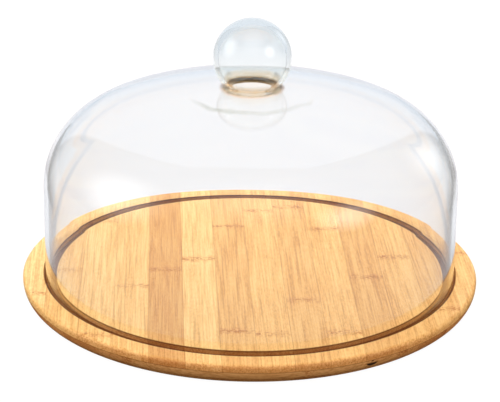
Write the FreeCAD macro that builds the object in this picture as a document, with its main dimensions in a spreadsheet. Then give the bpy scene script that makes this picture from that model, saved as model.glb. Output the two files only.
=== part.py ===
import FreeCAD, Part
import math
import os
import Sketcher

# Cheese dome: a round three-ply bamboo board with a ring groove, and a blown glass cover that stands
# in the groove and has a hollow ball on top to lift it by. Millimetres, +Z up. The origin is the
# middle of the board's underside, and the strips of the top ply run along Y.

PLIES = 3
STRIPS_PER_PLY = 14
WANEY_STRIP = 2  # the strip of the core ply that has a gap at one corner

SIZES = [
    # alias, value, what it is
    ("board_diameter", 300.0, "widest diameter of the board"),
    ("ply_thickness", 5.0, "each of the plies"),
    ("trim_allowance", 8.0, "how much wider than the board the glued panel is before turning"),
    ("panel_offset", -1.0, "distance of each ply's middle joint from the board's centre"),
    ("edge_top_round", 2.5, "radius between the top and the edge"),
    ("edge_land", 0.5, "straight band at the widest part of the edge"),
    ("groove_margin", 13.6, "from the board's widest part in to the groove"),
    ("groove_width", 8.3, "across the groove"),
    ("groove_depth", 3.5, "below the board's top"),
    ("groove_floor_round", 1.5, "radius at the foot of each side of the groove"),
    ("groove_ease", 0.5, "chamfer on each upper edge of the groove"),
    ("dome_clearance", 1.2, "radial gap between the glass and the groove's outer side"),
    ("dome_wall", 2.6, "glass thickness"),
    ("dome_height", 130.3, "from the rim up to the neck"),
    ("shoulder_radius", 52.0, "outside, between the upright wall and the crown"),
    ("crown_radius", 300.0, "outside, over the top"),
    ("rim_round", 1.0, "fire-polished corners of the rim"),
    ("neck_radius", 18.3, "outside, at the narrowest place"),
    ("neck_hole_radius", 13.0, "opening between the cover and the ball"),
    ("neck_fillet", 1.2, "outside, between the crown and the neck"),
    ("knob_radius", 25.6, "outside of the ball"),
    ("knob_wall", 3.5, "glass thickness at the ball's widest part"),
    ("knob_fillet", 2.0, "outside, between the neck and the ball"),
    ("gap_side", 2.4, "side of the square section that cuts the gap"),
    ("gap_length", 8.0, "how far the gap reaches in from the edge"),
]

BOARD_THICKNESS = f"{PLIES} * Sizes.ply_thickness"
BOARD_RADIUS = "Sizes.board_diameter / 2"
PANEL_WIDTH = "(Sizes.board_diameter + Sizes.trim_allowance)"
STRIP_WIDTH = f"{PANEL_WIDTH} / {STRIPS_PER_PLY}"
GROOVE_OUTER = f"{BOARD_RADIUS} - Sizes.groove_margin"
DOME_RADIUS = f"{GROOVE_OUTER} - Sizes.dome_clearance"
RIM_HEIGHT = f"{BOARD_THICKNESS} - Sizes.groove_depth"
NECK_HEIGHT = f"{RIM_HEIGHT} + Sizes.dome_height"

UP = FreeCAD.Vector(0, 0, 1)
START, END, CENTRE = 1, 2, 3
ORIGIN = (-1, 1)
X_AXIS, Y_AXIS = -1, -2
SAME = 1e-6


def make_sheet(doc):
    """Writes the driving dimensions and returns them by alias."""
    sheet = doc.addObject("Spreadsheet::Sheet", "Sizes")
    for row, (alias, value, meaning) in enumerate(SIZES, start=1):
        sheet.set(f"A{row}", meaning)
        sheet.set(f"B{row}", str(value))
        sheet.setAlias(f"B{row}", alias)
    doc.recompute()
    return {alias: float(sheet.get(alias)) for alias, _, _ in SIZES}


def line(first, last):
    return {"kind": "line", "first": first, "last": last}


def arc(centre, radius, begin, end):
    """An arc travelled from begin to end, both in degrees."""
    return {"kind": "arc", "centre": centre, "radius": radius, "begin": begin, "end": end}


def heading(piece, at_end):
    """The direction of travel at one end of a line or an arc, in degrees."""
    if piece["kind"] == "line":
        (x0, y0), (x1, y1) = piece["first"], piece["last"]
        return math.degrees(math.atan2(y1 - y0, x1 - x0))
    angle = piece["end"] if at_end else piece["begin"]
    return angle + (90 if piece["end"] > piece["begin"] else -90)


def draw_outline(sketch, pieces):
    """Draws a closed outline and joins its pieces, with tangents where the line of travel is smooth."""
    tips = []
    for piece in pieces:
        if piece["kind"] == "line":
            (x0, y0), (x1, y1) = piece["first"], piece["last"]
            edge = Part.LineSegment(FreeCAD.Vector(x0, y0, 0), FreeCAD.Vector(x1, y1, 0))
            number = sketch.addGeometry(edge, False)
            if abs(y1 - y0) < SAME:
                sketch.addConstraint(Sketcher.Constraint("Horizontal", number))
            elif abs(x1 - x0) < SAME:
                sketch.addConstraint(Sketcher.Constraint("Vertical", number))
            tips.append((number, START, END))
        else:
            circle = Part.Circle(FreeCAD.Vector(*piece["centre"], 0), UP, piece["radius"])
            low, high = sorted((math.radians(piece["begin"]), math.radians(piece["end"])))
            number = sketch.addGeometry(Part.ArcOfCircle(circle, low, high), False)
            forward = piece["end"] > piece["begin"]
            tips.append((number, START, END) if forward else (number, END, START))
    for index, (number, _, leaving) in enumerate(tips):
        following = (index + 1) % len(tips)
        turn = heading(pieces[following], False) - heading(pieces[index], True)
        smooth = abs(math.remainder(turn, 360)) < 0.01
        join = "Tangent" if smooth else "Coincident"
        following_number, entering, _ = tips[following]
        sketch.addConstraint(Sketcher.Constraint(join, number, leaving, following_number, entering))
    return tips


def dimension(sketch, kind, *where, size):
    """Adds one driving dimension and binds it to the sheet."""
    value = float(sketch.Document.getObject("Sizes").evalExpression(size))
    number = sketch.addConstraint(Sketcher.Constraint(kind, *where, value))
    sketch.setExpression(f"Constraints[{number}]", size)


def tie(sketch, kind, *where):
    sketch.addConstraint(Sketcher.Constraint(kind, *where))


def new_body(doc, label):
    body = doc.addObject("PartDesign::Body", label)
    body.Label = label
    sketch = body.newObject("Sketcher::SketchObject", f"{label}_section")
    plane = next(item for item in body.Origin.OriginFeatures if item.Role == "XZ_Plane")
    sketch.AttachmentSupport = (plane, [""])
    sketch.MapMode = "FlatFace"
    doc.recompute()
    return body, sketch


def revolve(doc, body, sketch):
    """Turns a half-section, drawn with X as the radius and Y as the height, into a round solid."""
    doc.recompute()
    if not sketch.FullyConstrained:
        raise RuntimeError(f"{sketch.Name} is not fully constrained")
    turned = body.newObject("PartDesign::Revolution", f"{body.Name}_turned")
    turned.Profile = sketch
    turned.ReferenceAxis = (sketch, ["V_Axis"])
    turned.Angle = 360.0
    sketch.Visibility = False
    doc.recompute()
    return body


def board_blank(doc, size):
    """The whole board as one turned disc: its edge is rounded and its top holds the ring groove."""
    radius = size["board_diameter"] / 2
    thick = PLIES * size["ply_thickness"]
    top_round, ease, foot = size["edge_top_round"], size["groove_ease"], size["groove_floor_round"]
    under_round = thick - top_round - size["edge_land"]
    outer = radius - size["groove_margin"]
    inner = outer - size["groove_width"]
    floor = thick - size["groove_depth"]

    body, sketch = new_body(doc, "board_blank")
    draw_outline(sketch, [
        line((0, 0), (radius - under_round, 0)),
        arc((radius - under_round, under_round), under_round, -90, 0),
        line((radius, under_round), (radius, thick - top_round)),
        arc((radius - top_round, thick - top_round), top_round, 0, 90),
        line((radius - top_round, thick), (outer + ease, thick)),
        line((outer + ease, thick), (outer, thick - ease)),
        line((outer, thick - ease), (outer, floor + foot)),
        arc((outer - foot, floor + foot), foot, 0, -90),
        line((outer - foot, floor), (inner + foot, floor)),
        arc((inner + foot, floor + foot), foot, 270, 180),
        line((inner, floor + foot), (inner, thick - ease)),
        line((inner, thick - ease), (inner - ease, thick)),
        line((inner - ease, thick), (0, thick)),
        line((0, thick), (0, 0)),
    ])
    underside, edge, upper_round, margin = 0, 2, 3, 4
    outer_ease, outer_side, outer_foot, groove_floor = 5, 6, 7, 8
    inner_foot, inner_side, inner_ease, top = 9, 10, 11, 12
    tie(sketch, "Coincident", underside, START, *ORIGIN)
    tie(sketch, "Horizontal", margin, START, top, START)
    tie(sketch, "Equal", outer_foot, inner_foot)
    dimension(sketch, "DistanceX", *ORIGIN, edge, START, size=BOARD_RADIUS)
    dimension(sketch, "DistanceY", *ORIGIN, top, END, size=BOARD_THICKNESS)
    dimension(sketch, "Radius", upper_round, size="Sizes.edge_top_round")
    dimension(sketch, "DistanceY", edge, START, edge, END, size="Sizes.edge_land")
    dimension(sketch, "DistanceX", *ORIGIN, outer_side, START, size=GROOVE_OUTER)
    dimension(sketch, "DistanceX", inner_side, START, outer_side, START, size="Sizes.groove_width")
    dimension(sketch, "DistanceY", groove_floor, START, top, END, size="Sizes.groove_depth")
    dimension(sketch, "Radius", outer_foot, size="Sizes.groove_floor_round")
    for chamfer, low, high in ((outer_ease, END, START), (inner_ease, START, END)):
        dimension(sketch, "DistanceX", chamfer, END, chamfer, START, size="Sizes.groove_ease")
        dimension(sketch, "DistanceY", chamfer, low, chamfer, high, size="Sizes.groove_ease")
    return revolve(doc, body, sketch)


def strip_box(doc, label, ply, number, crosswise):
    """The block that one strip fills in the glued panel, before the board is turned."""
    box = doc.addObject("Part::Box", f"{label}_block")
    first_side = f"Sizes.panel_offset - {PANEL_WIDTH} / 2"
    across, along = ("y", "x") if crosswise else ("x", "y")
    width, length = ("Width", "Length") if crosswise else ("Length", "Width")
    box.setExpression(width, STRIP_WIDTH)
    box.setExpression(length, PANEL_WIDTH)
    box.setExpression("Height", "Sizes.ply_thickness")
    box.setExpression(f"Placement.Base.{across}", f"{first_side} + {number - 1} * {STRIP_WIDTH}")
    box.setExpression(f"Placement.Base.{along}", f"-{PANEL_WIDTH} / 2")
    box.setExpression("Placement.Base.z", f"{ply} * Sizes.ply_thickness")
    return box


def corner_gap(doc, strip):
    """A short three-cornered gap where the strip's upper corner fell short of its neighbour."""
    joint = f"(Sizes.panel_offset - {PANEL_WIDTH} / 2 + {WANEY_STRIP - 1} * {STRIP_WIDTH})"
    reach = f"sqrt(({BOARD_RADIUS})^2 - {joint}^2)"
    block = doc.addObject("Part::Box", "gap_block")
    block.setExpression("Length", "Sizes.gap_length")
    block.setExpression("Width", "Sizes.gap_side")
    block.setExpression("Height", "Sizes.gap_side")
    block.Placement.Rotation = FreeCAD.Rotation(FreeCAD.Vector(1, 0, 0), 45)
    block.setExpression("Placement.Base.x", f"{reach} - Sizes.gap_length / 2")
    block.setExpression("Placement.Base.y", joint)
    block.setExpression("Placement.Base.z", f"{PLIES - 1} * Sizes.ply_thickness - Sizes.gap_side / sqrt(2)")
    cut = doc.addObject("Part::Cut", "waney_strip")
    cut.Base = strip
    cut.Tool = block
    return cut


def board_strips(doc, blank):
    """Every strip of every ply, each cut to the board's shape. The core ply runs crosswise."""
    strips = []
    for ply, name in enumerate(("bottom_strip", "core_strip", "top_strip")):
        crosswise = name == "core_strip"
        for number in range(1, STRIPS_PER_PLY + 1):
            label = f"{name}_{number:02d}"
            strip = doc.addObject("Part::Common", f"{label}_shape")
            strip.Base = strip_box(doc, label, ply, number, crosswise)
            strip.Tool = blank
            if crosswise and number == WANEY_STRIP:
                strip = corner_gap(doc, strip)
            strip.Label = label
            strips.append(strip)
    return strips


def glass_dome(doc, size):
    """The cover: a straight wall, a round shoulder and a shallow crown, open at the rim and neck."""
    wall, rim = size["dome_wall"], size["rim_round"]
    radius = size["board_diameter"] / 2 - size["groove_margin"] - size["dome_clearance"]
    shoulder, crown, fillet = size["shoulder_radius"], size["crown_radius"], size["neck_fillet"]
    neck, hole, height = size["neck_radius"], size["neck_hole_radius"], size["dome_height"]
    crown_centre = height - math.sqrt((crown + fillet) ** 2 - (neck + fillet) ** 2)
    shoulder_centre = crown_centre + math.sqrt((crown - shoulder) ** 2 - (radius - shoulder) ** 2)
    inner_crown = crown - wall
    drop = height - crown_centre
    hole_round = (hole ** 2 + drop ** 2 - inner_crown ** 2) / (2 * (inner_crown - hole))

    def bearing(x, y):
        return math.degrees(math.atan2(y, x))

    meet = bearing(radius - shoulder, shoulder_centre - crown_centre)
    neck_foot = bearing(neck + fillet, drop)
    hole_foot = bearing(hole + hole_round, drop)

    body, sketch = new_body(doc, "glass_dome")
    draw_outline(sketch, [
        line((radius - wall + rim, 0), (radius - rim, 0)),
        arc((radius - rim, rim), rim, -90, 0),
        line((radius, rim), (radius, shoulder_centre)),
        arc((radius - shoulder, shoulder_centre), shoulder, 0, meet),
        arc((0, crown_centre), crown, meet, neck_foot),
        arc((neck + fillet, height), fillet, neck_foot + 180, 180),
        line((neck, height), (hole, height)),
        arc((hole + hole_round, height), hole_round, 180, hole_foot + 180),
        arc((0, crown_centre), inner_crown, hole_foot, meet),
        arc((radius - shoulder, shoulder_centre), shoulder - wall, meet, 0),
        line((radius - wall, shoulder_centre), (radius - wall, rim)),
        arc((radius - wall + rim, rim), rim, 180, 270),
    ])
    foot, outer_rim, outside, outer_shoulder, outer_crown, outer_fillet = range(6)
    neck_top, inner_fillet, inner_top, inner_shoulder, inside, inner_rim = range(6, 12)
    tie(sketch, "PointOnObject", foot, START, X_AXIS)
    tie(sketch, "Equal", outer_rim, inner_rim)
    tie(sketch, "Coincident", outer_shoulder, CENTRE, inner_shoulder, CENTRE)
    tie(sketch, "Coincident", outer_crown, CENTRE, inner_top, CENTRE)
    tie(sketch, "PointOnObject", outer_crown, CENTRE, Y_AXIS)
    tie(sketch, "PointOnObject", outer_fillet, CENTRE, neck_top)
    tie(sketch, "PointOnObject", inner_fillet, CENTRE, neck_top)
    dimension(sketch, "DistanceX", *ORIGIN, outside, START, size=DOME_RADIUS)
    dimension(sketch, "DistanceX", inside, START, outside, END, size="Sizes.dome_wall")
    dimension(sketch, "Radius", outer_rim, size="Sizes.rim_round")
    dimension(sketch, "Radius", outer_shoulder, size="Sizes.shoulder_radius")
    dimension(sketch, "Radius", outer_crown, size="Sizes.crown_radius")
    dimension(sketch, "Radius", outer_fillet, size="Sizes.neck_fillet")
    dimension(sketch, "DistanceX", *ORIGIN, neck_top, START, size="Sizes.neck_radius")
    dimension(sketch, "DistanceX", *ORIGIN, neck_top, END, size="Sizes.neck_hole_radius")
    dimension(sketch, "DistanceY", *ORIGIN, neck_top, START, size="Sizes.dome_height")
    body.setExpression("Placement.Base.z", RIM_HEIGHT)
    return revolve(doc, body, sketch)


def ball_knob(doc, size):
    """The hollow ball, from the neck up. Its bubble opens downwards through the neck."""
    radius, fillet = size["knob_radius"], size["knob_fillet"]
    neck, hole = size["neck_radius"], size["neck_hole_radius"]
    bubble = radius - size["knob_wall"]
    ball_centre = math.sqrt((radius + fillet) ** 2 - (neck + fillet) ** 2)
    bubble_centre = math.sqrt(bubble ** 2 - hole ** 2)
    meet = math.degrees(math.atan2(ball_centre, -(neck + fillet)))
    mouth = math.degrees(math.atan2(-bubble_centre, hole))

    body, sketch = new_body(doc, "ball_knob")
    draw_outline(sketch, [
        line((hole, 0), (neck, 0)),
        arc((neck + fillet, 0), fillet, 180, meet),
        arc((0, ball_centre), radius, meet - 180, 90),
        line((0, ball_centre + radius), (0, bubble_centre + bubble)),
        arc((0, bubble_centre), bubble, 90, mouth),
    ])
    neck_foot, outer_fillet, ball, axis, hollow = range(5)
    tie(sketch, "PointOnObject", neck_foot, START, X_AXIS)
    tie(sketch, "PointOnObject", outer_fillet, CENTRE, X_AXIS)
    tie(sketch, "PointOnObject", ball, CENTRE, Y_AXIS)
    tie(sketch, "PointOnObject", axis, START, Y_AXIS)
    tie(sketch, "PointOnObject", hollow, CENTRE, Y_AXIS)
    dimension(sketch, "DistanceX", *ORIGIN, neck_foot, START, size="Sizes.neck_hole_radius")
    dimension(sketch, "DistanceX", *ORIGIN, neck_foot, END, size="Sizes.neck_radius")
    dimension(sketch, "Radius", outer_fillet, size="Sizes.knob_fillet")
    dimension(sketch, "Radius", ball, size="Sizes.knob_radius")
    dimension(sketch, "Radius", hollow, size="Sizes.knob_radius - Sizes.knob_wall")
    body.setExpression("Placement.Base.z", NECK_HEIGHT)
    return revolve(doc, body, sketch)


def check(doc, parts):
    for item in doc.Objects:
        if "Invalid" in item.State or "Error" in item.State:
            raise RuntimeError(f"{item.Name} did not build: {item.State}")
    for part in parts:
        shape = part.Shape
        if shape.isNull() or not shape.isValid() or len(shape.Solids) != 1:
            raise RuntimeError(f"{part.Label} is not one valid solid")


def main():
    doc = FreeCAD.newDocument("cheese_dome")
    size = make_sheet(doc)
    parts = board_strips(doc, board_blank(doc, size))
    parts += [glass_dome(doc, size), ball_knob(doc, size)]
    doc.recompute()
    check(doc, parts)
    os.makedirs("parts", exist_ok=True)
    for part in parts:
        part.Shape.exportStep(f"parts/{part.Label}.step")
    print(len(parts), "parts written")


main()
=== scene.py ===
import math

import bmesh
import bpy
from mathutils import Matrix, Vector


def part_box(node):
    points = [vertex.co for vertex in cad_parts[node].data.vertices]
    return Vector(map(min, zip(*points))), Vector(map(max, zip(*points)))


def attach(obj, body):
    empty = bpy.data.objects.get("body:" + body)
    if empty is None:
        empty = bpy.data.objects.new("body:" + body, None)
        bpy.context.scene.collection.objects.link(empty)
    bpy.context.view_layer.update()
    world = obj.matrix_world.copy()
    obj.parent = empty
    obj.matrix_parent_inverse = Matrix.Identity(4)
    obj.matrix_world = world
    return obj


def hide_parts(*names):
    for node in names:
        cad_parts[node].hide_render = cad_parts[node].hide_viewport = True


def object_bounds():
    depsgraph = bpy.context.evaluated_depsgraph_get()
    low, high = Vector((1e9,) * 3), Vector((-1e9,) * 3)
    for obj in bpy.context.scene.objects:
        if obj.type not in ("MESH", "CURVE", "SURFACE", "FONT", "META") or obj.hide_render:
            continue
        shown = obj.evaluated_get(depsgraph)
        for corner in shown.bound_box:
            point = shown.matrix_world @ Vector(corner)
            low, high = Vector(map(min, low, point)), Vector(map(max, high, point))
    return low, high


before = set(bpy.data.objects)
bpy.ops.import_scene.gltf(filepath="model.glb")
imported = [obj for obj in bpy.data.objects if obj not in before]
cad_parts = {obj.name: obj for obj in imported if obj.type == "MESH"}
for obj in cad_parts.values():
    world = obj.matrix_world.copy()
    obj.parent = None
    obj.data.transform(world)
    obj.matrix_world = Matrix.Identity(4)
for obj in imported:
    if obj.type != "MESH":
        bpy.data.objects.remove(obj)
cad_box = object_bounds()

MM = 0.001
TINY = 1e-7
TURN_STEPS = 360
SHARP = math.radians(30)

# The board: three plies of strips, 22 mm wide, with a ring groove in the top one.
BOARD_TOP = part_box("top_strip_07")[1].z
PLY = BOARD_TOP / 3
BOARD_RADIUS = (cad_box[1].x - cad_box[0].x) / 2
STRIPS = 14
STRIP = 22 * MM
FIRST_JOINT = -155 * MM
GROOVE_OUTER = BOARD_RADIUS - 13.6 * MM
GROOVE_INNER = GROOVE_OUTER - 8.3 * MM
GROOVE_EASE, GROOVE_FOOT = 0.5 * MM, 1.5 * MM
TOP_ROUND = 2.5 * MM
LOWER_ROUND = BOARD_TOP - 3 * MM
GAP_JOINT = FIRST_JOINT + STRIP
GAP = (math.sqrt(BOARD_RADIUS ** 2 - GAP_JOINT ** 2), GAP_JOINT, 2 * PLY)
GAP_SIDE, GAP_LENGTH = 2.4 * MM, 8 * MM

# The glass: the cover stands in the groove, and the ball sits on its neck.
glass_low, glass_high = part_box("glass_dome")
knob_low, knob_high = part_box("ball_knob")
GROOVE_FLOOR = glass_low.z
GLASS_RADIUS = (glass_high.x - glass_low.x) / 2
NECK = glass_high.z
WALL, RIM = 2.6 * MM, 1.0 * MM
SHOULDER, CROWN, NECK_FILLET = 52 * MM, 300 * MM, 1.2 * MM
NECK_RADIUS, HOLE, KNOB_FILLET = 18.3 * MM, 13 * MM, 2 * MM
KNOB_RADIUS = (knob_high.x - knob_low.x) / 2
BUBBLE = KNOB_RADIUS - 3.5 * MM
BALL_MIDDLE = knob_high.z - KNOB_RADIUS


# ---------------------------------------------------------------- meshes

def sweep(centre, radius, begin, end, step=6):
    """Points of an arc from one angle to another, in degrees."""
    count = max(2, round(abs(end - begin) / step))
    turn = [math.radians(begin + (end - begin) * i / count) for i in range(count + 1)]
    return [(centre[0] + radius * math.cos(t), centre[1] + radius * math.sin(t)) for t in turn]


def tidy_path(points):
    """The path without a point that repeats the one before it."""
    kept = [points[0]]
    for point in points[1:]:
        if math.dist(point, kept[-1]) > TINY:
            kept.append(point)
    return kept


def turned(path, closed=False):
    """A path of radius and height turned about Z. Flat discs close an open path at both ends."""
    bm = bmesh.new()
    rings = []
    for radius, height in path:
        if radius < TINY:
            rings.append([bm.verts.new((0, 0, height))])
            continue
        ring = []
        for i in range(TURN_STEPS):
            a = 2 * math.pi * i / TURN_STEPS
            ring.append(bm.verts.new((radius * math.cos(a), radius * math.sin(a), height)))
        rings.append(ring)
    pairs = list(zip(rings, rings[1:]))
    if closed:
        pairs.append((rings[-1], rings[0]))
    for a, b in pairs:
        if len(a) == 1 and len(b) == 1:
            continue
        for i in range(TURN_STEPS):
            j = (i + 1) % TURN_STEPS
            if len(a) == 1:
                bm.faces.new((a[0], b[j], b[i]))
            elif len(b) == 1:
                bm.faces.new((a[i], a[j], b[0]))
            else:
                bm.faces.new((a[i], a[j], b[j], b[i]))
    if not closed:
        for ring in (rings[0], rings[-1]):
            if len(ring) > 1:
                bm.faces.new(ring)
    bmesh.ops.recalc_face_normals(bm, faces=bm.faces)
    return bm


def cut_away(bm, point, normal):
    """Removes what lies on the normal's side of a plane and closes the cut."""
    found = bmesh.ops.bisect_plane(
        bm, geom=bm.verts[:] + bm.edges[:] + bm.faces[:], dist=1e-8,
        plane_co=point, plane_no=normal, clear_outer=True)
    edges = [e for e in found["geom_cut"] if isinstance(e, bmesh.types.BMEdge) and e.is_boundary]
    if edges:
        bmesh.ops.edgeloop_fill(bm, edges=edges)


def new_object(name, data):
    """An object of its own in the scene."""
    made = bpy.data.objects.new(name, data)
    bpy.context.scene.collection.objects.link(made)
    return made


def as_piece(bm, name, material, body, slot, *nodes, flat=True):
    """Makes a mesh one visible piece, which replaces CAD nodes and rides on a body."""
    bmesh.ops.recalc_face_normals(bm, faces=bm.faces)
    mesh = bpy.data.meshes.new(name)
    for face in bm.faces:
        face.smooth = not (flat and len(face.verts) > 4)
    bm.to_mesh(mesh)
    bm.free()
    mesh.set_sharp_from_angle(angle=SHARP)
    mesh.materials.append(material)
    piece = new_object(name, mesh)
    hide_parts(*nodes)
    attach(piece, body)
    return piece


# ------------------------------------------------------------- materials

class Nodes:
    """Short calls for making the nodes of one material or world."""

    def __init__(self, owner):
        owner.use_nodes = True
        self.owner = owner
        self.tree = owner.node_tree
        self.tree.nodes.clear()

    def add(self, kind, **settings):
        node = self.tree.nodes.new("ShaderNode" + kind)
        for key, value in settings.items():
            setattr(node, key, value)
        return node

    def put(self, value, socket):
        if isinstance(value, bpy.types.NodeSocket):
            self.tree.links.new(value, socket)
        else:
            socket.default_value = value

    def made(self, kind, *values):
        """A node with its first sockets filled, as its first output."""
        node = self.add(kind)
        for value, socket in zip(values, node.inputs):
            self.put(value, socket)
        return node.outputs[0]

    def math(self, operation, *values, clamp=False):
        node = self.add("Math", operation=operation, use_clamp=clamp)
        for value, socket in zip(values, node.inputs):
            self.put(value, socket)
        return node.outputs[0]

    def product(self, first, *others):
        for other in others:
            first = self.math("MULTIPLY", first, other)
        return first

    def apart(self, a, b):
        """How far one number is from another."""
        return self.math("ABSOLUTE", self.math("SUBTRACT", a, b))

    def vector(self, operation, *values):
        node = self.add("VectorMath", operation=operation)
        for value, socket in zip(values, node.inputs):
            self.put(value, socket)
        return node.outputs["Value" if operation in ("DOT_PRODUCT", "LENGTH") else 0]

    def parts(self, vector):
        """A vector's three numbers."""
        node = self.add("SeparateXYZ")
        self.put(vector, node.inputs[0])
        return node.outputs

    def from_axis(self, place):
        """The distance of a place from the Z axis."""
        return self.vector("LENGTH", self.vector("MULTIPLY", place, (1, 1, 0)))

    def noise(self, vector, scale, detail, roughness=0.55):
        node = self.add("TexNoise")
        for value, key in ((vector, "Vector"), (scale, "Scale"), (detail, "Detail"),
                           (roughness, "Roughness")):
            self.put(value, node.inputs[key])
        return node.outputs["Fac"]

    def smooth(self, value, low, high, to_low=0.0, to_high=1.0):
        node = self.add("MapRange", interpolation_type="SMOOTHSTEP")
        for number, key in ((value, "Value"), (low, "From Min"), (high, "From Max"),
                            (to_low, "To Min"), (to_high, "To Max")):
            self.put(number, node.inputs[key])
        return node.outputs["Result"]

    def fade(self, value, low, high, level=1.0):
        """The level up to a low value, fading to nothing at a high one."""
        return self.smooth(value, low, high, level, 0.0)

    def mix(self, share, a, b, blend="MIX"):
        node = self.add("Mix", data_type="RGBA", blend_type=blend)
        for value, index in ((share, 0), (a, 6), (b, 7)):
            self.put(value, node.inputs[index])
        return node.outputs[2]

    def tinted(self, share, colour, tint):
        """The colour, multiplied by a tint as far as the share says."""
        return self.mix(share, colour, self.mix(1.0, colour, (*tint, 1), "MULTIPLY"))

    def ramp(self, value, *stops):
        node = self.add("ValToRGB")
        self.put(value, node.inputs[0])
        elements = node.color_ramp.elements
        while len(elements) < len(stops):
            elements.new(0.5)
        for element, (place, colour) in zip(elements, stops):
            element.position = place
            element.color = (*colour, 1)
        return node.outputs[0]

    def attribute(self, name):
        return self.add("Attribute", attribute_name=name).outputs["Fac"]

    def finished(self, surface, volume=None):
        """Joins the surface and volume to the output and gives back the material."""
        out = self.add("OutputMaterial")
        self.put(surface, out.inputs["Surface"])
        if volume:
            self.put(volume, out.inputs["Volume"])
        return self.owner


# Each noise of the grain: how far it is drawn out, its scale, detail and roughness.
BROAD_BANDS = (0.05, 110, 2, 0.5)
FIBRES = (0.022, 900, 3, 0.55)
FLECKS = (0.35, 900, 2, 0.6)
BROAD_SHARE, FIBRE_SHARE, FLECK_SHARE = 0.18, 0.57, 0.25
SEED_STEPS = (0.731, 1.937, 0.517)

# What the wood's colour is multiplied by.
DARKER_STRIP, LIGHTER_STRIP = (0.66, 0.48, 0.33), (1.12, 1.24, 1.42)
KNUCKLE_TINT = (0.66, 0.42, 0.25)
STRIP_GLUE_TINT, PLY_GLUE_TINT = (0.62, 0.44, 0.28), (0.45, 0.32, 0.22)
# Painted shade: the darkened inside of the gap.
GAP_SHADE_TINT = (0.05, 0.04, 0.035)
# Painted shade in the groove, and painted shadow lines at its lips and corners.
GROOVE_SHADE_TINT, GROOVE_SHADOW_LINE_TINT = (0.70, 0.56, 0.44), (0.30, 0.19, 0.11)
FIBRE_END_TINT = (0.66, 0.52, 0.40)


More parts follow.
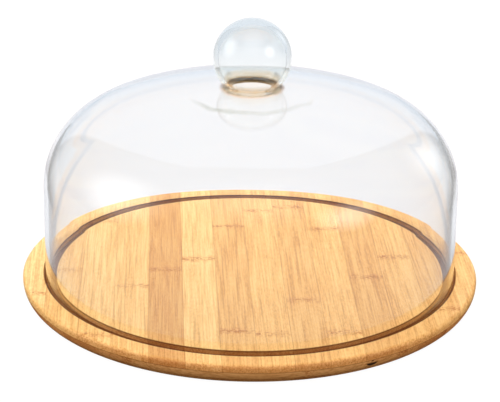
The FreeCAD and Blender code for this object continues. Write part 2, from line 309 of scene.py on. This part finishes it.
def bamboo(name, along, pale, honey, fibre, end_tint, grooved=False, gap=None):
    """Flat-pressed bamboo. The grain runs along one axis, and the cut fibres dot the ends."""
    n = Nodes(bpy.data.materials.new(name))
    place = n.add("TexCoord").outputs["Object"]
    axes = n.parts(place)
    lengthwise, crosswise, up = axes[along], axes[1 - along], axes[2]

    # Each strip reads the noises at a place of its own.
    seed = n.attribute("seed")
    shift = n.add("CombineXYZ")
    for step, socket in zip(SEED_STEPS, shift.inputs):
        n.put(n.math("MULTIPLY", seed, step), socket)
    moved = n.vector("ADD", place, shift.outputs[0])

    def drawn_out(length, width=1):
        return n.vector("MULTIPLY", moved, (width, length, 1) if along == 1 else (length, width, 1))

    broad, fibres, flecks = (
        n.noise(drawn_out(length), *settings) for length, *settings in (BROAD_BANDS, FIBRES, FLECKS))
    grain = n.math("ADD", n.product(broad, BROAD_SHARE), n.product(fibres, FIBRE_SHARE))
    grain = n.math("ADD", grain, n.product(flecks, FLECK_SHARE))
    colour = n.ramp(grain, (0.385, fibre), (0.49, honey), (0.59, pale))

    # Each strip's own tone: below zero is darker and redder.
    tone = n.attribute("tone")
    for sign, tint in ((-1.0, DARKER_STRIP), (1.0, LIGHTER_STRIP)):
        colour = n.tinted(n.math("MULTIPLY", tone, sign, clamp=True), colour, tint)

    # Up to two knuckles cross each strip: a wavering line in a halo of small marks.
    wobble = n.product(n.math("SUBTRACT", n.noise(moved, 260, 3), 0.5), 9 * MM)
    near = n.math("MINIMUM", *(
        n.math("ABSOLUTE", n.math("ADD", n.math("SUBTRACT", lengthwise, n.attribute(key)), wobble))
        for key in ("knuckle_a", "knuckle_b")))
    halo, line = n.fade(near, 0.5 * MM, 5.8 * MM), n.fade(near, 0.0, 1.1 * MM)
    scribble = n.noise(drawn_out(0.8, 0.55), 1000, 2, 0.6)
    speck = n.smooth(scribble, 0.45, 0.53)
    patchy = n.smooth(n.noise(moved, 150, 2), 0.40, 0.58, 0.45, 1.0)
    marks = n.math("ADD", n.product(line, n.smooth(scribble, 0.42, 0.58, 0.0, 0.25)),
                   n.product(halo, n.math("ADD", n.math("MULTIPLY", speck, 0.85), 0.05)))
    knuckle = n.math("MULTIPLY", marks, patchy, clamp=True)
    colour = n.tinted(knuckle, colour, KNUCKLE_TINT)

    # The glue line between two strips.
    phase = n.math("PINGPONG", n.math("SUBTRACT", crosswise, FIRST_JOINT), STRIP / 2)
    colour = n.tinted(n.fade(phase, 0.08 * MM, 0.45 * MM, 0.42), colour, STRIP_GLUE_TINT)

    # The glue line between two plies, and painted shade that darkens the inside of the gap at the
    # edge.
    layer = n.product(n.fade(n.math("PINGPONG", up, PLY / 2), 0.05 * MM, 0.45 * MM, 0.65),
                      n.fade(up, BOARD_TOP - 1 * MM, BOARD_TOP - 0.5 * MM))
    colour = n.tinted(layer, colour, PLY_GLUE_TINT)
    if gap:
        away = n.vector("LENGTH", n.vector("SUBTRACT", place, gap))
        sunk = n.fade(n.from_axis(place), BOARD_RADIUS - 0.9 * MM, BOARD_RADIUS - 0.35 * MM)
        colour = n.tinted(n.product(n.fade(away, 4.2 * MM, 5 * MM), sunk), colour, GAP_SHADE_TINT)

    # Painted shade in the groove, partly its cut faces holding more oil: darker down the groove, with
    # painted shadow lines at its lips and in its corners.
    if grooved:
        off_middle = n.apart(n.from_axis(place), (GROOVE_OUTER + GROOVE_INNER) / 2)
        half = (GROOVE_OUTER - GROOVE_INNER) / 2
        within = n.fade(off_middle, half + 0.1 * MM, half + 0.8 * MM)
        below = n.fade(up, BOARD_TOP - 0.7 * MM, BOARD_TOP - 0.05 * MM)
        lip = n.fade(n.apart(up, BOARD_TOP - 0.6 * MM), 0.25 * MM, 0.65 * MM)
        corner = n.fade(up, GROOVE_FLOOR + 0.3 * MM, GROOVE_FLOOR + 1.0 * MM)
        colour = n.tinted(n.product(within, below), colour, GROOVE_SHADE_TINT)
        dark = n.product(within, n.math("MAXIMUM", lip, corner))
        colour = n.tinted(dark, colour, GROOVE_SHADOW_LINE_TINT)

    # Cut ends: darker, with the fibres' ends as dots.
    facing = n.parts(n.add("NewGeometry").outputs["Normal"])
    end = n.smooth(n.math("ABSOLUTE", facing[along]), 0.45, 0.9)
    dots = n.add("TexVoronoi", feature="F1")
    n.put(drawn_out(0.15), dots.inputs["Vector"])
    dots.inputs["Scale"].default_value = 1300
    spots = n.fade(dots.outputs["Distance"], 0.12, 0.42, 0.75)
    ends = n.mix(1.0, colour, (*end_tint, 1), "MULTIPLY")
    colour = n.mix(end, colour, n.tinted(spots, ends, FIBRE_END_TINT))

    shader = n.add("BsdfPrincipled")
    n.put(colour, shader.inputs["Base Color"])
    rough = n.math("ADD", n.math("MULTIPLY", fibres, 0.22), n.math("MULTIPLY", end, 0.08))
    n.put(n.math("ADD", rough, 0.36), shader.inputs["Roughness"])
    shader.inputs["IOR"].default_value = 1.42
    shader.inputs["Specular IOR Level"].default_value = 0.3
    bump = n.add("Bump")
    bump.inputs["Strength"].default_value = 0.35
    bump.inputs["Distance"].default_value = 0.25 * MM
    height = n.math("ADD", n.math("MULTIPLY", fibres, 0.6), n.math("MULTIPLY", knuckle, 0.8))
    n.put(height, bump.inputs["Height"])
    n.put(bump.outputs[0], shader.inputs["Normal"])
    return n.finished(shader.outputs[0])


# The glass seen through its surface, the painted dark line edge on, the faint arc on the crown, and
# the tints for rays that pass straight on, the amber one a painted colour in the neck.
CLEAR = ((0.4, (0.978, 0.988, 0.984)), (0.6, (0.984, 0.991, 0.988)))
PAINTED_EDGE_LINE = (0.05, 0.048, 0.04, 1)
ARC_TINT = (0.50, 0.52, 0.40, 1)
STRAIGHT_ON, AMBER = (0.94, 0.945, 0.943, 1), (0.93, 0.80, 0.62, 1)
DEPTH_COLOUR, DEPTH_DENSITY = (0.80, 0.85, 0.62, 1), 25


def clear_glass():
    """Clear glass with a faint green tint. Lamps and bounced light pass straight through it."""
    n = Nodes(bpy.data.materials.new("clear_glass"))
    place = n.add("TexCoord").outputs["Object"]
    x, y, z = n.parts(place)
    radius = n.from_axis(place)
    tint = n.ramp(n.noise(place, 9, 2), *CLEAR)

    # Seen edge on, the inside of the wall and of the ball gets a thin dark line of painted shade.
    edge = n.add("LayerWeight")
    edge.inputs["Blend"].default_value = 0.5
    grazing = n.smooth(edge.outputs["Facing"], 0.70, 0.90)
    wall = n.product(n.fade(radius, GLASS_RADIUS - 2.2 * MM, GLASS_RADIUS - 1 * MM),
                     n.fade(z, 88 * MM, 106 * MM))
    from_middle = n.vector("LENGTH", n.vector("SUBTRACT", place, (0, 0, BALL_MIDDLE)))
    ball = n.product(n.smooth(z, NECK + 4 * MM, NECK + 8 * MM),
                     n.fade(z, BALL_MIDDLE - 4 * MM, BALL_MIDDLE + 9 * MM, 0.8),
                     n.fade(from_middle, BUBBLE + 0.6 * MM, BUBBLE + 2 * MM))
    tint = n.mix(n.product(n.math("MAXIMUM", wall, ball), grazing), tint, PAINTED_EDGE_LINE)

    # A faint dark, wavering arc runs part of the way round the crown, on its front side only.
    waver = n.noise(place, 70, 2)
    ring = n.apart(radius, n.math("ADD", n.math("MULTIPLY", waver, 8 * MM), 38.5 * MM))
    front_arc = n.product(n.fade(ring, 0.3 * MM, 2.6 * MM), n.fade(y, -34 * MM, -12 * MM),
                       n.smooth(x, -30 * MM, 30 * MM, 0.6, 0.3), n.smooth(z, 110 * MM, 120 * MM))
    tint = n.mix(front_arc, tint, ARC_TINT)

    shader = n.add("BsdfPrincipled")
    n.put(tint, shader.inputs["Base Color"])
    shader.inputs["Roughness"].default_value = 0.0
    shader.inputs["IOR"].default_value = 1.5
    shader.inputs["Transmission Weight"].default_value = 1.0

    # The thick glass of the neck is not as clear: part of the light passes straight through tinted
    # amber, a painted colour standing in for the board's orange seen through the neck.
    thick = n.product(n.fade(n.apart(z, NECK + 1 * MM), 3.5 * MM, 6.5 * MM),
                      n.fade(radius, 19 * MM, 22 * MM))
    through = n.made("BsdfTransparent", n.mix(thick, STRAIGHT_ON, AMBER))
    path = n.add("LightPath")
    share = n.math("MAXIMUM", path.outputs["Is Shadow Ray"], path.outputs["Is Diffuse Ray"])
    share = n.math("MAXIMUM", share, n.product(thick, n.smooth(waver, 0.35, 0.65, 0.35, 0.7)))
    mixed = n.made("MixShader", share, shader.outputs[0], through)
    depth = n.made("VolumeAbsorption", DEPTH_COLOUR, DEPTH_DENSITY)
    return n.finished(mixed, depth)


top_wood = bamboo("top_bamboo", 1, (0.92, 0.55, 0.205), (0.84, 0.44, 0.14), (0.66, 0.305, 0.08),
                  (0.80, 0.66, 0.58), grooved=True)
# The core and bottom plies are darker than the top one: partly their own tone, partly painted shade
# towards the bottom of the edge.
core_wood = bamboo("core_bamboo", 0, (0.72, 0.36, 0.125), (0.62, 0.28, 0.085), (0.46, 0.185, 0.05),
                   (0.95, 0.80, 0.72), gap=GAP)
bottom_wood = bamboo("bottom_bamboo", 1, (0.76, 0.40, 0.14), (0.66, 0.31, 0.095), (0.50, 0.21, 0.058),
                     (0.80, 0.62, 0.46))
glass = clear_glass()


# ----------------------------------------------------------------- board

def edge_points(low, high):
    """The rounded lower edge between two heights, from below."""
    begin, end = (math.degrees(math.asin(max(-1, min(0, (height - LOWER_ROUND) / LOWER_ROUND))))
                  for height in (low, high))
    return sweep((BOARD_RADIUS - LOWER_ROUND, LOWER_ROUND), LOWER_ROUND, begin, end, 4)


top_path = (
    edge_points(2 * PLY, BOARD_TOP)
    + sweep((BOARD_RADIUS - TOP_ROUND, BOARD_TOP - TOP_ROUND), TOP_ROUND, 0, 90)
    + sweep((GROOVE_OUTER + GROOVE_EASE, BOARD_TOP - GROOVE_EASE), GROOVE_EASE, 90, 180, 15)
    + sweep((GROOVE_OUTER - GROOVE_FOOT, GROOVE_FLOOR + GROOVE_FOOT), GROOVE_FOOT, 0, -90, 10)
    + sweep((GROOVE_INNER + GROOVE_FOOT, GROOVE_FLOOR + GROOVE_FOOT), GROOVE_FOOT, 270, 180, 10)
    + sweep((GROOVE_INNER - GROOVE_EASE, BOARD_TOP - GROOVE_EASE), GROOVE_EASE, 0, 90, 15))
core_path = edge_points(PLY, 2 * PLY)
bottom_path = edge_points(0, PLY)

# Each strip's tone, and where its knuckles are along it, in mm. 400 is past its end: no knuckle.
TONES = {
    "top": (0.75, 0.15, 0.45, 0.20, -0.50, 0.50, -0.20, 0.02, -0.20, 0.00, -0.30, -0.08, -0.20, 0.05),
    "core": (0.1, -0.1, -0.4, 0.2, -0.2, 0.3, 0.0, -0.3, 0.1, 0.2, -0.1, 0.3, -0.2, 0.0),
    "bottom": (0.2, -0.2, 0.1, -0.4, 0.3, 0.0, -0.1, 0.2, -0.3, 0.1, 0.0, -0.2, 0.3, -0.1),
}
KNUCKLES = {
    "top": ((-40, 130), (-4, 400), (-105, 80), (-30, 150), (-3, 400), (12, 400), (70, -99),
            (101, -104), (108, -54), (64, -103), (-18, 160), (15, -150), (-70, 110), (20, 400)),
    "core": ((30, 400), (-80, 90), (120, -60), (10, 400), (-120, 60), (-20, 150), (80, -100),
             (-60, 110), (40, -130), (0, 400), (100, -75), (-35, 125), (60, -90), (15, 400)),
    "bottom": ((10, 400), (-60, 90), (70, -110), (-20, 140), (110, -60), (30, -135), (-90, 75),
               (5, 400), (-50, 120), (90, -80), (-10, 150), (50, -100), (-30, 100), (0, 400)),
}
SEED_PER_STRIP, SEED_PER_LETTER = 0.617, 0.21


def strips(ply, path, across, material):
    """Cuts one turned ply into its strips, each a piece of its own."""
    whole = turned(tidy_path(path))
    side = Vector((1, 0, 0)) if across == 0 else Vector((0, 1, 0))
    made = []
    for number in range(STRIPS):
        low = FIRST_JOINT + number * STRIP
        bm = whole.copy()
        cut_away(bm, side * low, -side)
        cut_away(bm, side * (low + STRIP), side)
        piece = as_piece(bm, f"{ply}_board_strip_{number + 1:02d}", material, "board",
                         f"{ply}_strip", f"{ply}_strip_{number + 1:02d}")
        first, second = KNUCKLES[ply][number]
        facts = {"tone": TONES[ply][number],
                 "seed": number * SEED_PER_STRIP + SEED_PER_LETTER * len(ply),
                 "knuckle_a": first * MM, "knuckle_b": second * MM}
        for key, value in facts.items():
            layer = piece.data.attributes.new(key, "FLOAT", "POINT")
            layer.data.foreach_set("value", [value] * len(piece.data.vertices))
        made.append(piece)
    whole.free()
    return made


def gap_in(piece):
    """The three-cornered gap where one core strip fell short of its neighbour at the edge."""
    bm = bmesh.new()
    bmesh.ops.create_cube(bm, size=1)
    turn = Matrix.Rotation(math.radians(45), 4, "X")
    size = Matrix.Diagonal((GAP_LENGTH, GAP_SIDE, GAP_SIDE, 1))
    bm.transform(Matrix.Translation(GAP) @ turn @ size)
    cutter_mesh = bpy.data.meshes.new("gap_cutter")
    bm.to_mesh(cutter_mesh)
    bm.free()
    cutter = new_object("gap_cutter", cutter_mesh)
    cut = piece.modifiers.new("gap", "BOOLEAN")
    cut.operation, cut.solver, cut.object = "DIFFERENCE", "EXACT", cutter
    bpy.context.view_layer.update()
    graph = bpy.context.evaluated_depsgraph_get()
    mended = bpy.data.meshes.new_from_object(piece.evaluated_get(graph), depsgraph=graph)
    piece.modifiers.clear()
    piece.data = mended
    bpy.data.objects.remove(cutter)


strips("top", top_path, 0, top_wood)
core = strips("core", core_path, 1, core_wood)
strips("bottom", bottom_path, 0, bottom_wood)
gap_in(core[1])


# ----------------------------------------------------------------- glass

def degrees(rise, run):
    """The angle of a slope, in degrees."""
    return math.degrees(math.atan2(rise, run))


def cover_path():
    """The cover and its ball as one closed outline: up the outside and down the inside."""
    crown_z = NECK - math.sqrt((CROWN + NECK_FILLET) ** 2 - (NECK_RADIUS + NECK_FILLET) ** 2)
    shoulder_r = GLASS_RADIUS - SHOULDER
    shoulder_z = crown_z + math.sqrt((CROWN - SHOULDER) ** 2 - shoulder_r ** 2)
    drop, inner = NECK - crown_z, CROWN - WALL
    mouth = (HOLE ** 2 + drop ** 2 - inner ** 2) / (2 * (inner - HOLE))
    meet = degrees(shoulder_z - crown_z, shoulder_r)
    foot = degrees(drop, NECK_RADIUS + NECK_FILLET)
    inner_foot = degrees(drop, HOLE + mouth)
    ball_z = NECK + math.sqrt((KNOB_RADIUS + KNOB_FILLET) ** 2 - (NECK_RADIUS + KNOB_FILLET) ** 2)
    bubble_z = NECK + math.sqrt(BUBBLE ** 2 - HOLE ** 2)
    waist = degrees(ball_z - NECK, -(NECK_RADIUS + KNOB_FILLET))
    rise = [shoulder_z * i / 12 + GROOVE_FLOOR * (1 - i / 12) for i in range(1, 12)]
    path = sweep((GLASS_RADIUS - RIM, GROOVE_FLOOR + RIM), RIM, -90, 0, 10)
    path += [(GLASS_RADIUS, z) for z in rise]
    path += sweep((shoulder_r, shoulder_z), SHOULDER, 0, meet, 2)
    path += sweep((0, crown_z), CROWN, meet, foot, 0.5)
    path += sweep((NECK_RADIUS + NECK_FILLET, NECK), NECK_FILLET, foot + 180, 180, 8)
    path += sweep((NECK_RADIUS + KNOB_FILLET, NECK), KNOB_FILLET, 180, waist, 6)
    path += sweep((0, ball_z), KNOB_RADIUS, waist - 180, 90, 2)
    path += [(0, bubble_z + BUBBLE)]
    path += sweep((0, bubble_z), BUBBLE, 90, degrees(NECK - bubble_z, HOLE), 2)
    path += sweep((HOLE + mouth, NECK), mouth, 180, inner_foot + 180, 6)
    path += sweep((0, crown_z), inner, inner_foot, meet, 0.5)
    path += sweep((shoulder_r, shoulder_z), SHOULDER - WALL, meet, 0, 2)
    path += [(GLASS_RADIUS - WALL, z) for z in reversed(rise)]
    path += sweep((GLASS_RADIUS - WALL + RIM, GROOVE_FLOOR + RIM), RIM, 180, 270, 10)
    return tidy_path(path)


as_piece(turned(cover_path(), closed=True), "glass_cover", glass, "dome", "dome_glass",
         "glass_dome", "ball_knob", flat=False)


# ----------------------------------------------- floor, lights and camera

FLOOR_REACH, FLOOR_DROP = 8.0, 0.2 * MM
# What a ray meets that has passed through the glass, on the floor and in the room alike.
THROUGH = (0.815, 0.87, 1.0, 1)
# What it meets when it comes straight from the camera, and what the glass mirrors.
FLOOR_SEEN, ROOM_SEEN = (0.97, 0.97, 0.975, 1), (0.96, 0.97, 1.0, 1)
FLOOR_NEAR, FLOOR_FAR = (0.20, 0.20, 0.21, 1), (0.86, 0.89, 0.98, 1)
ROOM, BACKDROP = (0.14, 0.14, 0.15, 1), (0.80, 0.875, 1.0, 1)
FLOOR_PAINT = (0.10, 0.075, 0.05, 1)


def pale_floor():
    """A pale lit table. It looks evenly bright, but throws little light back up on the object."""
    n = Nodes(bpy.data.materials.new("pale_floor"))
    path = n.add("LightPath")
    glossy, sharp = path.outputs["Is Glossy Ray"], path.outputs["Is Singular Ray"]
    rough = n.math("SUBTRACT", glossy, sharp, clamp=True)
    hidden = n.math("MAXIMUM", path.outputs["Is Diffuse Ray"], rough)
    # Through the glass the table is as pale as beside it. In mirrored light only its far part is.
    x, y, _ = n.parts(n.add("TexCoord").outputs["Object"])
    half = n.math("ADD", n.math("MULTIPLY", n.math("MAXIMUM", y, 0.0), 0.3), 0.17)
    outside = n.math("SUBTRACT", n.math("ABSOLUTE", x), half)
    far = n.product(n.fade(outside, 0.0, 0.05), n.smooth(y, 0.0, 0.1))
    lit = n.mix(path.outputs["Is Transmission Ray"], n.mix(far, FLOOR_NEAR, FLOOR_FAR), THROUGH)
    glow = n.mix(path.outputs["Is Camera Ray"], lit, FLOOR_SEEN)
    shine = n.made("Emission", glow, n.math("SUBTRACT", 1.0, hidden))
    return n.finished(n.made("AddShader", n.made("BsdfDiffuse", FLOOR_PAINT), shine))


floor_mesh = bpy.data.meshes.new("floor")
corners = [(x * FLOOR_REACH, y * FLOOR_REACH, -FLOOR_DROP)
           for x, y in ((-1, -1), (1, -1), (1, 1), (-1, 1))]
floor_mesh.from_pydata(corners, [], [(0, 1, 2, 3)])
floor_mesh.materials.append(pale_floor())
new_object("floor", floor_mesh)


def toward(azimuth, elevation):
    """The direction of a place round the object, in degrees from the front and up from the table."""
    a, e = math.radians(azimuth), math.radians(elevation)
    return Vector((math.sin(a) * math.cos(e), -math.cos(a) * math.cos(e), math.sin(e)))


def softbox(name, azimuth, elevation, distance, width, height, watts, aim=(0, 0, 0.05)):
    """A soft lamp that lights the wood. The glass doesn't mirror it."""
    data = bpy.data.lights.new(name, "AREA")
    data.shape, data.size, data.size_y, data.energy = "RECTANGLE", width, height, watts
    lamp = new_object(name, data)
    out = toward(azimuth, elevation)
    lamp.location = Vector(aim) + out * distance
    lamp.rotation_mode = "QUATERNION"
    lamp.rotation_quaternion = out.to_track_quat("Z", "Y")
    lamp.visible_glossy = False
    lamp.visible_transmission = False


softbox("overhead_softbox", -70, 80, 1.5, 1.4, 1.1, 5.3)
softbox("rear_softbox", 180, 40, 0.55, 0.7, 0.25, 4.0, (0, 0.12, 0.015))
softbox("front_softbox", 0, 10, 1.3, 1.8, 0.45, 4.6)
softbox("left_softbox", -78, 9, 1.2, 0.9, 0.4, 2.4)
softbox("right_softbox", 78, 9, 1.2, 0.9, 0.4, 2.4)

# What the glass mirrors: each soft spot's azimuth, elevation, size and level.
SPOTS = ((-86, 27, 33, 4.4), (131, 17, 20, 1.9), (55, 26, 22, 6.0), (0, 62, 46, 1.6))


def studio():
    """A dim room with a pale blue backdrop behind the object and four soft spots of light."""
    world = bpy.data.worlds.new("studio")
    n = Nodes(world)
    direction = n.add("TexCoord").outputs["Generated"]
    x, y, z = n.parts(direction)
    side = n.math("ARCTAN2", n.math("ABSOLUTE", x), y)
    screen = n.product(n.fade(side, math.radians(27), math.radians(31)),
                       n.fade(n.math("ARCSINE", z), math.radians(60), math.radians(66)))
    total = n.mix(screen, ROOM, BACKDROP)
    for azimuth, elevation, size, level in SPOTS:
        away = n.math("ARCCOSINE", n.vector("DOT_PRODUCT", direction, toward(azimuth, elevation)))
        spot = n.add("VectorMath", operation="SCALE")
        spot.inputs[0].default_value = (1, 1, 1)
        n.put(n.fade(away, 0.0, math.radians(size), level), spot.inputs["Scale"])
        total = n.mix(1.0, total, spot.outputs[0], "ADD")
    path = n.add("LightPath")
    lit = n.made("Background", n.mix(path.outputs["Is Transmission Ray"], total, THROUGH))
    seen = n.made("Background", ROOM_SEEN)
    chosen = n.made("MixShader", path.outputs["Is Camera Ray"], lit, seen)
    n.put(chosen, n.add("OutputWorld").inputs["Surface"])
    bpy.context.scene.world = world


studio()

# The camera fitted to the photo.
AZIMUTH, ELEVATION, ROLL = -2.75, 21.682, math.radians(0.707)
DISTANCE, ASIDE, ABOVE = 1.390, -0.0004, 0.0434
FOCAL_LENGTH, SENSOR = 150.5, 36
back = toward(AZIMUTH, ELEVATION)
right = Vector((math.cos(math.radians(AZIMUTH)), math.sin(math.radians(AZIMUTH)), 0))
up = back.cross(right)
lens = bpy.data.cameras.new("camera")
lens.lens, lens.sensor_width = FOCAL_LENGTH, SENSOR
camera = new_object("camera", lens)
x_axis = right * math.cos(ROLL) + up * math.sin(ROLL)
y_axis = up * math.cos(ROLL) - right * math.sin(ROLL)
place = Vector((0, 0, BOARD_TOP)) + back * DISTANCE + right * ASIDE + up * ABOVE
rotation = Matrix((x_axis, y_axis, back)).transposed().to_4x4()
camera.matrix_world = Matrix.Translation(place) @ rotation

scene = bpy.context.scene
scene.camera = camera
scene.view_settings.view_transform = "Standard"
scene.cycles.max_bounces = 20
scene.cycles.transmission_bounces = 20
scene.cycles.transparent_max_bounces = 24
scene.cycles.caustics_reflective = False
scene.cycles.caustics_refractive = False
